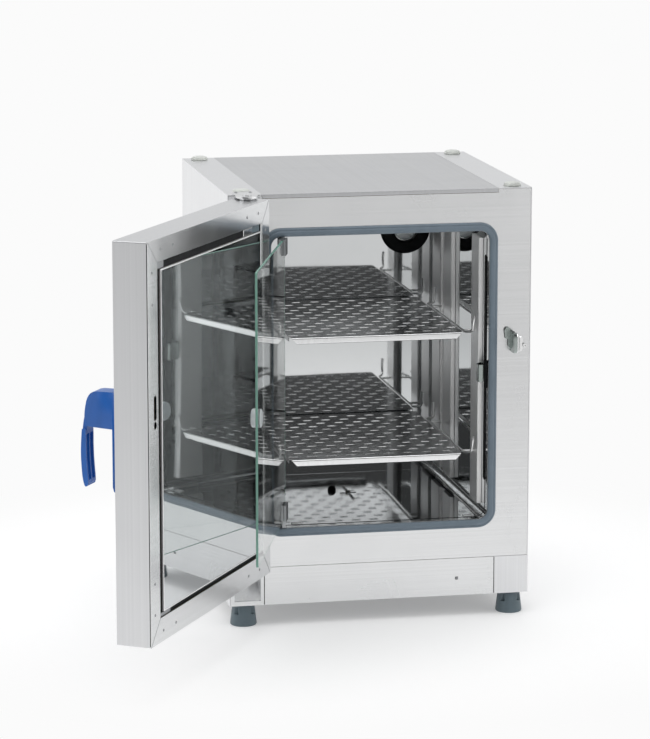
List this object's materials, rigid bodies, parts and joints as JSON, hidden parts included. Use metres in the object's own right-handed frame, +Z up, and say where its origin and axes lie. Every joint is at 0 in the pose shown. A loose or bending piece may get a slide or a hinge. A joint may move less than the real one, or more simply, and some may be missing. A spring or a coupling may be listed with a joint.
{
  "type": "laboratory incubator",
  "caption": "Insulated bench cabinet with an outer door, an inner glass door and sliding perforated shelves that keeps samples at a steady warm temperature.",
  "frame": {"origin": "middle of the object's footprint at rest, on the floor under the feet", "axes": "+Z up, +Y towards the rear panel, +X towards the side away from the door hinges"},
  "size_m": [0.8338, 1.0014, 0.7607],
  "materials": {
    "painted_steel": "fine satin",
    "stainless": "brushed",
    "polished_steel": "polished",
    "mirror_steel": "mirror polish",
    "dark_steel": "satin",
    "gasket_rubber": "matt",
    "black_rubber": "matt",
    "blue_plastic": "semi-gloss",
    "slate_plastic": "matt",
    "pad_plastic": "translucent",
    "clear_glass": "polished",
    "frosted_plastic": "frosted",
    "foam": "matt",
    "panel_plastic": "satin",
    "display_glass": "polished",
    "board": "satin",
    "heater_metal": "heat tinted"
  },
  "bodies": {
    "cabinet": {"side_casing_left": "painted_steel", "side_casing_right": "painted_steel", "top_panel": "painted_steel", "front_frame": "stainless", "plinth_panel": "stainless", "base_plate": "dark_steel", "rear_panel": "painted_steel", "lower_hinge_bracket": "stainless", "upper_hinge_plate": "stainless", "chamber_liner": "polished_steel", "insulation": "foam", "chamber_gasket": "gasket_rubber", "striker": "polished_steel", "glass_seal_strip": "black_rubber", "glass_catch": "polished_steel", "heater_element": "heater_metal", "temperature_probe": "stainless", "control_board": "board", "power_inlet": "panel_plastic", "foot_front_left": "slate_plastic", "foot_front_right": "slate_plastic", "foot_rear_left": "slate_plastic", "foot_rear_right": "slate_plastic", "stacking_pad_front_left": "pad_plastic", "stacking_pad_front_right": "pad_plastic", "stacking_pad_rear_left": "pad_plastic", "stacking_pad_rear_right": "pad_plastic", "upright_left_front": "stainless", "upright_right_front": "stainless", "upright_left_rear": "stainless", "upright_right_rear": "stainless", "support_upper_left": "polished_steel", "support_upper_right": "polished_steel", "support_lower_left": "polished_steel", "support_lower_right": "polished_steel", "port_ring": "black_rubber", "port_tube": "polished_steel", "glass_bracket_upper": "dark_steel", "glass_bracket_lower": "dark_steel"},
    "outer_door": {"door_skin": "painted_steel", "door_frame_top": "stainless", "door_frame_bottom": "stainless", "door_frame_hinge": "stainless", "door_frame_free": "stainless", "door_gap_seal": "black_rubber", "door_mirror_panel": "mirror_steel", "door_insulation": "foam", "control_panel": "panel_plastic", "display_window": "display_glass", "handle_base": "blue_plastic", "latch_housing": "dark_steel"},
    "handle": {"handle_lever": "blue_plastic"},
    "pawl": {"latch_pawl": "dark_steel"},
    "glass_door": {"glass_pane": "clear_glass", "glass_knob": "frosted_plastic", "glass_clamp_upper": "stainless", "glass_clamp_lower": "stainless"},
    "upper_shelf": {"shelf_upper": "polished_steel"},
    "lower_shelf": {"shelf_lower": "polished_steel"},
    "port_stopper": {"port_plug": "frosted_plastic"}
  },
  "joints": [
    {"name": "outer_door_hinge", "type": "hinge", "parent": "cabinet", "child": "outer_door", "pos_m": [-0.08629, -0.06185, 0.43], "axis": [0, 0, -1], "range_deg": [-121.6, 12]},
    {"name": "glass_door_hinge", "type": "hinge", "parent": "cabinet", "child": "glass_door", "pos_m": [-0.02109, -0.01985, 0.43], "axis": [0, 0, -1], "range_deg": [-107.6, 10.6]},
    {"name": "handle_hinge", "type": "hinge", "parent": "outer_door", "child": "handle", "pos_m": [-0.38147, -0.43936, 0.493], "axis": [0.524, 0.8517, 0], "range_deg": [-5, 16], "stiffness_Nm_per_rad": 4},
    {"name": "pawl_hinge", "type": "hinge", "parent": "outer_door", "child": "pawl", "pos_m": [-0.33523, -0.46076, 0.512], "axis": [-0.524, -0.8517, 0], "range_deg": [-5.5, 17.6]},
    {"name": "upper_shelf_slide", "type": "slide", "parent": "cabinet", "child": "upper_shelf", "axis": [0, -1, 0], "range_m": [0, 0.28]},
    {"name": "lower_shelf_slide", "type": "slide", "parent": "cabinet", "child": "lower_shelf", "axis": [0, -1, 0], "range_m": [0, 0.28]},
    {"name": "port_stopper_slide", "type": "slide", "parent": "cabinet", "child": "port_stopper", "axis": [0, 1, 0], "range_m": [0, 0.11]}
  ],
  "couplings": [
    {"joint": "glass_door_hinge", "follows": "outer_door_hinge", "ratio": 0.88487},
    {"joint": "pawl_hinge", "follows": "handle_hinge", "ratio": 1.1}
  ]
}
